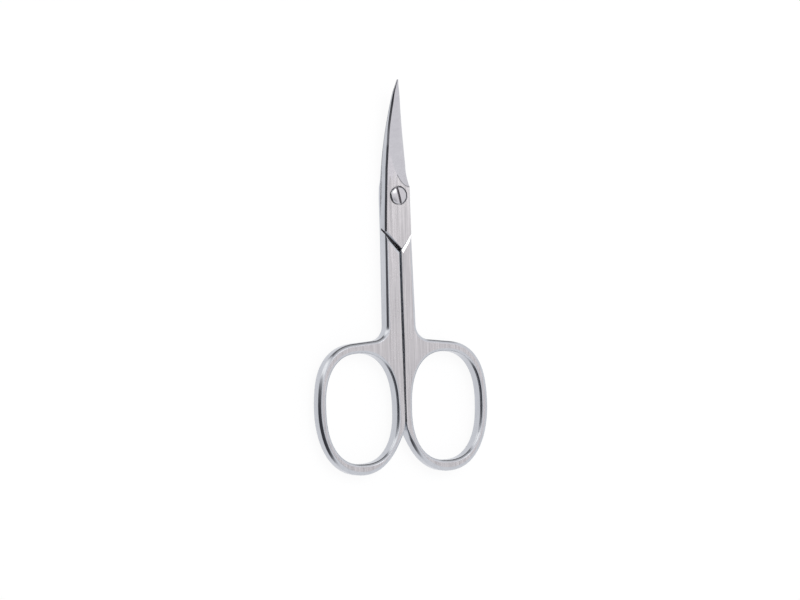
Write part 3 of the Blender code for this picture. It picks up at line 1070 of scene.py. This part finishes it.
@dataclass
class Studio:
    """White table, soft surroundings, one soft lamp and the camera."""

    walls: Colour = (0.90, 0.90, 0.93)  # colour of the surroundings, linear
    # Panels and flags round the table, laid over each other in order
    panels: tuple[Panel, ...] = (
        Panel(82.0, 18.0, 40.0, (0.60, 0.60, 0.61), top=62.0),
        Panel(111.0, 2.0, 9.0, (0.32, 0.32, 0.34), top=55.0),
        Panel(86.0, 27.0, 38.0, (0.17, 0.165, 0.175), top=18.0, foot=-58.0, fade=20.0),
        Panel(141.0, 5.0, 17.0, (1.3, 1.29, 1.29), top=85.0),
        Panel(200.0, 18.0, 50.0, (0.06, 0.06, 0.07), top=86.0, foot=-61.0, fade=26.0),
    )
    # Round patches, laid over the panels in order
    patches: tuple[Patch, ...] = (
        Patch(30.0, 4.0, 30.0, (0.98, 0.95, 0.98), elevation=68.0),
        Patch(33.0, 3.0, 5.0, (2.6, 2.6, 2.6), elevation=68.0),
        Patch(343.0, 2.0, 8.0, (0.5, 0.49, 0.52), elevation=72.0),
    )
    lamp_power: float = 1.6  # power of the soft lamp in watts
    lamp_size: float = 0.5  # side of the soft lamp
    # Azimuth, elevation and distance of the lamp
    lamp_place: tuple[float, float, float] = (60.0, 62.0, 0.9)
    lamp_colour: Colour = (1.0, 0.99, 0.98)
    table_size: float = 6.0
    table_sink: float = 0.02 * MM  # how far the table lies below the scissors
    paint: float = 0.8  # white of the table in the light that it throws back
    lit: float = 0.12  # white that shows the lamp's light and shadow to the camera
    glow: float = 0.9  # white that the camera sees whatever the light

    def build(self) -> None:
        """Builds world, table, lamp and camera."""
        self._world()
        self._table()
        self._lamp()
        Camera().build()
        log.info("studio: %d panels, %d patches", len(self.panels), len(self.patches))

    def _world(self) -> None:
        """Surroundings by direction: plain white for the camera, panelled for the steel."""
        world = bpy.data.worlds.new("studio")
        bpy.context.scene.world = world
        world.use_nodes = True
        tree = world.node_tree
        tree.nodes.clear()
        towards = add_node(tree, "TexCoord").outputs["Generated"]
        height = add_node(tree, "SeparateXYZ", {"Vector": towards}).outputs["Z"]
        around = vector(tree, "NORMALIZE", vector(tree, "MULTIPLY", towards, (1.0, 1.0, 0.0)))
        walls = add_node(tree, "RGB")
        walls.outputs["Color"].default_value = (*self.walls, 1.0)
        painted = walls.outputs["Color"]
        for panel in self.panels:
            share = panel.share(tree, around)
            for end, fade in ((panel.top, -panel.fade), (panel.foot, panel.fade)):
                low, high = (math.sin(math.radians(angle)) for angle in (end, end + fade))
                share = number(tree, "MULTIPLY", share, soft_step(tree, height, low, high))
            painted = mixed(tree, painted, panel.colour, share)
        for patch in self.patches:
            painted = mixed(tree, painted, patch.colour, patch.share(tree, towards))
        panelled, white = (
            add_node(tree, "Background", {"Color": colour}).outputs["Background"]
            for colour in (painted, (1.0, 1.0, 1.0, 1.0))
        )
        by_camera = add_node(tree, "LightPath").outputs["Is Camera Ray"]
        seen = add_node(tree, "MixShader", {"Fac": by_camera, 1: panelled, 2: white})
        add_node(tree, "OutputWorld", {"Surface": seen.outputs["Shader"]})

    def _table(self) -> None:
        """The white table that the scissors lie on."""
        deselect_all()
        bpy.ops.mesh.primitive_plane_add(size=self.table_size, location=(0, 0, -self.table_sink))
        table = bpy.context.active_object
        table.name = "table"
        table.data.materials.append(self._table_white())
        table.visible_glossy = False

    def _table_white(self) -> Material:
        """The table's white: nearly even for the camera, plain paint for the light.

        Returns:
            The material.
        """
        material = bpy.data.materials.new("white_table")
        material.use_nodes = True
        tree = material.node_tree
        tree.nodes.clear()
        paint, lit = (
            add_node(tree, "BsdfDiffuse", {"Color": (white, white, white, 1.0)}).outputs["BSDF"]
            for white in (self.paint, self.lit)
        )
        light = {"Color": (1.0, 1.0, 1.0, 1.0), "Strength": self.glow}
        glow = add_node(tree, "Emission", light).outputs["Emission"]
        shown = add_node(tree, "AddShader", {0: lit, 1: glow}).outputs["Shader"]
        path = add_node(tree, "LightPath").outputs
        seen = number(tree, "MAXIMUM", path["Is Camera Ray"], path["Is Glossy Ray"])
        either = add_node(tree, "MixShader", {"Fac": seen, 1: paint, 2: shown})
        add_node(tree, "OutputMaterial", {"Surface": either.outputs["Shader"]})
        return material

    def _lamp(self) -> None:
        """One large soft lamp, which gives the table its faint shadow."""
        lamp = bpy.data.lights.new("soft_lamp", "AREA")
        lamp.size = self.lamp_size
        lamp.energy = self.lamp_power
        lamp.color = self.lamp_colour
        holder = bpy.data.objects.new("soft_lamp", lamp)
        holder.visible_glossy = False
        azimuth, elevation, distance = self.lamp_place
        holder.location = direction(azimuth, elevation) * distance
        holder.rotation_mode = "QUATERNION"
        holder.rotation_quaternion = holder.location.to_track_quat("Z", "Y")
        bpy.context.scene.collection.objects.link(holder)


@dataclass
class Camera:
    """The camera, looking down at the front faces and a little from the left."""

    aim: tuple[float, float, float] = (0.0, -18.5 * MM, 1.6 * MM)  # the point that it looks at
    distance: float = 514.1 * MM  # from that point
    lean: float = 26.49  # degrees that it stands to the left of square on
    dip: float = -1.84  # degrees that it stands towards the tips
    roll: float = 1.722  # degrees that it is turned about its own axis
    lens: float = 102.05  # focal length in mm
    sensor: float = 36.0  # width of the sensor in mm
    shift: tuple[float, float] = (0.0029, -0.0282)  # shift of the picture, in shares of its width
    clip: tuple[float, float] = (0.01, 20.0)  # nearest and farthest distance that it sees

    def build(self) -> None:
        """Makes the camera and sets it as the scene's own."""
        lean, dip, roll = (math.radians(a) for a in (self.lean, self.dip, self.roll))
        square = Vector((-math.sin(lean), 0.0, math.cos(lean)))
        along = Vector((0.0, 1.0, 0.0))
        back = square * math.cos(dip) + along * math.sin(dip)
        up = along * math.cos(dip) - square * math.sin(dip)
        right = Vector((math.cos(lean), 0.0, math.sin(lean)))
        data = bpy.data.cameras.new("camera")
        data.sensor_width = self.sensor
        data.lens = self.lens
        data.shift_x, data.shift_y = self.shift
        data.clip_start, data.clip_end = self.clip
        camera = bpy.data.objects.new("camera", data)
        matrix = camera.matrix_world.to_3x3()
        matrix.col[0] = right * math.cos(roll) - up * math.sin(roll)
        matrix.col[1] = right * math.sin(roll) + up * math.cos(roll)
        matrix.col[2] = back
        camera.rotation_mode = "QUATERNION"
        camera.rotation_quaternion = matrix.to_quaternion()
        camera.location = Vector(self.aim) + back * self.distance
        bpy.context.scene.collection.objects.link(camera)
        bpy.context.scene.camera = camera


@dataclass
class NailScissors:
    """The whole pair: both forgings and the screw that joins them."""

    front: FrontHalf = field(default_factory=FrontHalf)
    rear: RearHalf = field(default_factory=RearHalf)
    screw: PivotScrew = field(default_factory=PivotScrew)

    def build(self) -> None:
        """Builds every piece in its finish."""
        groups = NodeGroups()
        steels = [FORGED_FINISHES[surface].material(groups) for surface in Surface]
        self.front.build(steels)
        self.rear.build(steels)
        self.screw.build(POLISHED.material(groups), steels[Surface.GAP.value])


def main() -> None:
    """Builds the studio and the scissors."""
    logging.basicConfig(level=logging.INFO, format="%(name)s: %(message)s")
    bpy.context.scene.view_settings.view_transform = "Standard"
    Studio().build()
    NailScissors().build()


if __name__ == "__main__":
    main()
